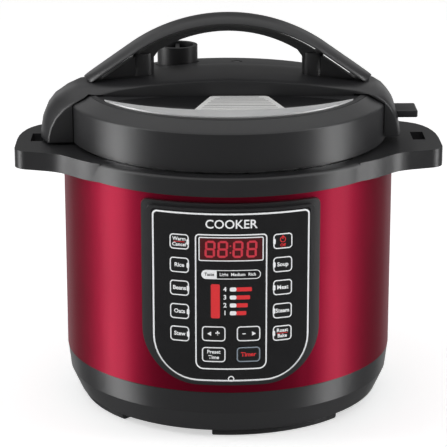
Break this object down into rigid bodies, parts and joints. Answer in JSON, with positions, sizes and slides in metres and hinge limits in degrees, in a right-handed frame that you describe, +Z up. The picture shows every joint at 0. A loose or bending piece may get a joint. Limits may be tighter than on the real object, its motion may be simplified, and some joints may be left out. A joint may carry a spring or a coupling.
{
  "type": "electric pressure cooker",
  "caption": "Drum-shaped worktop pressure cooker with a twist-lock lid, arched lid handle, carrying lugs, steam knob and a framed front control panel.",
  "frame": {"origin": "on the worktop under the pot's axis", "axes": "+Z up, +X across the carrying lugs, the control panel towards -Y"},
  "size_m": [0.332, 0.2775, 0.3068],
  "materials": {
    "charcoal_plastic": "satin, fine spark texture",
    "soft_black_plastic": "matt",
    "crimson_paint": "metallic candy lacquer",
    "stainless": "satin",
    "galvanised": "dull",
    "cast_aluminium": "turned",
    "ceramic": "glazed",
    "circuit_board": "solder resist",
    "panel_black": "printed film",
    "key_black": "satin",
    "display_red": "smoked window",
    "gloss_black": "piano gloss",
    "bright_trim": "satin chrome",
    "paper_label": "printed film",
    "silicone": "translucent",
    "foot_rubber": "matt",
    "clear_plastic": "clear",
    "membrane": "film"
  },
  "bodies": {
    "cooker": {"base_housing": "charcoal_plastic", "bottom_cover": "soft_black_plastic", "bottom_screws": "galvanised", "feet": "foot_rubber", "outer_shell": "crimson_paint", "collar": "charcoal_plastic", "pot_housing": "galvanised", "heat_shield": "galvanised", "heating_plate": "cast_aluminium", "heater_terminals": "ceramic", "sensor_bracket": "galvanised", "sensor_spring": "galvanised", "pressure_switch": "soft_black_plastic", "thermal_fuse": "ceramic", "power_board": "circuit_board", "control_board": "circuit_board", "display_module": "soft_black_plastic", "panel_bezel": "charcoal_plastic", "panel_face": "panel_black", "display_window": "display_red", "switch_membrane": "membrane", "power_inlet": "soft_black_plastic", "inlet_screws": "galvanised", "collector_bracket": "soft_black_plastic"},
    "sensor": {"thermal_sensor": "cast_aluminium"},
    "pot": {"inner_pot": "stainless"},
    "lid_seal": {"sealing_ring": "silicone", "ring_rack": "stainless"},
    "lid": {"lid_cover": "charcoal_plastic", "inner_lid": "stainless", "lid_disc": "gloss_black", "silver_trim": "bright_trim", "lid_label": "paper_label", "handle_base": "charcoal_plastic", "handle_grip": "charcoal_plastic", "handle_screws": "galvanised", "lid_screws": "galvanised", "exhaust_pipe": "stainless", "pipe_nut": "stainless", "anti_block_shield": "stainless"},
    "steam_release": {"steam_knob": "soft_black_plastic"},
    "float": {"float_valve": "stainless", "float_seal": "silicone"},
    "collector": {"dew_collector": "clear_plastic"},
    "key_left_1": {"key_left_1": "key_black"},
    "key_left_2": {"key_left_2": "key_black"},
    "key_left_3": {"key_left_3": "key_black"},
    "key_left_4": {"key_left_4": "key_black"},
    "key_left_5": {"key_left_5": "key_black"},
    "key_right_1": {"key_right_1": "key_black"},
    "key_right_2": {"key_right_2": "key_black"},
    "key_right_3": {"key_right_3": "key_black"},
    "key_right_4": {"key_right_4": "key_black"},
    "key_right_5": {"key_right_5": "key_black"},
    "key_less": {"key_less": "key_black"},
    "key_more": {"key_more": "key_black"},
    "key_preset": {"key_preset": "key_black"},
    "key_timer": {"key_timer": "key_black"}
  },
  "joints": [
    {"name": "lid_lift", "type": "slide", "parent": "cooker", "child": "lid_seal", "axis": [0, 0, 1], "range_m": [0, 0.36]},
    {"name": "lid_twist", "type": "hinge", "parent": "lid_seal", "child": "lid", "pos_m": [0, 0, 0.22], "axis": [0, 0, 1], "range_deg": [0, 30]},
    {"name": "pot_lift", "type": "slide", "parent": "cooker", "child": "pot", "axis": [0, 0, 1], "range_m": [0, 0.18]},
    {"name": "steam_turn", "type": "hinge", "parent": "lid", "child": "steam_release", "pos_m": [-0.04, 0.06, 0.25], "axis": [0, 0, 1], "range_deg": [0, 60]},
    {"name": "float_rise", "type": "slide", "parent": "lid", "child": "float", "axis": [0, 0, 1], "range_m": [0, 0.006]},
    {"name": "sensor_press", "type": "slide", "parent": "cooker", "child": "sensor", "axis": [0, 0, 1], "range_m": [-0.002, 0], "stiffness_N_per_m": 300, "springref_m": 0.003, "deforming": ["sensor_spring"]},
    {"name": "collector_down", "type": "slide", "parent": "cooker", "child": "collector", "axis": [0, 0, -1], "range_m": [0, 0.065]},
    {"name": "key_left_1_press", "type": "slide", "parent": "cooker", "child": "key_left_1", "axis": [0.2823, 0.9593, 0], "range_m": [0, 0.0005], "stiffness_N_per_m": 1000, "springref_m": -0.0003},
    {"name": "key_left_2_press", "type": "slide", "parent": "cooker", "child": "key_left_2", "axis": [0.2823, 0.9593, 0], "range_m": [0, 0.0005], "stiffness_N_per_m": 1000, "springref_m": -0.0003},
    {"name": "key_left_3_press", "type": "slide", "parent": "cooker", "child": "key_left_3", "axis": [0.2823, 0.9593, 0], "range_m": [0, 0.0005], "stiffness_N_per_m": 1000, "springref_m": -0.0003},
    {"name": "key_left_4_press", "type": "slide", "parent": "cooker", "child": "key_left_4", "axis": [0.2823, 0.9593, 0], "range_m": [0, 0.0005], "stiffness_N_per_m": 1000, "springref_m": -0.0003},
    {"name": "key_left_5_press", "type": "slide", "parent": "cooker", "child": "key_left_5", "axis": [0.2823, 0.9593, 0], "range_m": [0, 0.0005], "stiffness_N_per_m": 1000, "springref_m": -0.0003},
    {"name": "key_right_1_press", "type": "slide", "parent": "cooker", "child": "key_right_1", "axis": [-0.2823, 0.9593, 0], "range_m": [0, 0.0005], "stiffness_N_per_m": 1000, "springref_m": -0.0003},
    {"name": "key_right_2_press", "type": "slide", "parent": "cooker", "child": "key_right_2", "axis": [-0.2823, 0.9593, 0], "range_m": [0, 0.0005], "stiffness_N_per_m": 1000, "springref_m": -0.0003},
    {"name": "key_right_3_press", "type": "slide", "parent": "cooker", "child": "key_right_3", "axis": [-0.2823, 0.9593, 0], "range_m": [0, 0.0005], "stiffness_N_per_m": 1000, "springref_m": -0.0003},
    {"name": "key_right_4_press", "type": "slide", "parent": "cooker", "child": "key_right_4", "axis": [-0.2823, 0.9593, 0], "range_m": [0, 0.0005], "stiffness_N_per_m": 1000, "springref_m": -0.0003},
    {"name": "key_right_5_press", "type": "slide", "parent": "cooker", "child": "key_right_5", "axis": [-0.2823, 0.9593, 0], "range_m": [0, 0.0005], "stiffness_N_per_m": 1000, "springref_m": -0.0003},
    {"name": "key_less_press", "type": "slide", "parent": "cooker", "child": "key_less", "axis": [0.0958, 0.9954, 0], "range_m": [0, 0.0005], "stiffness_N_per_m": 1000, "springref_m": -0.0003},
    {"name": "key_more_press", "type": "slide", "parent": "cooker", "child": "key_more", "axis": [-0.0958, 0.9954, 0], "range_m": [0, 0.0005], "stiffness_N_per_m": 1000, "springref_m": -0.0003},
    {"name": "key_preset_press", "type": "slide", "parent": "cooker", "child": "key_preset", "axis": [0.0958, 0.9954, 0], "range_m": [0, 0.0005], "stiffness_N_per_m": 1000, "springref_m": -0.0003},
    {"name": "key_timer_press", "type": "slide", "parent": "cooker", "child": "key_timer", "axis": [-0.0958, 0.9954, 0], "range_m": [0, 0.0005], "stiffness_N_per_m": 1000, "springref_m": -0.0003}
  ],
  "couplings": [
    {"joint": "pot_lift", "follows": "lid_lift", "ratio": 0.5}
  ]
}
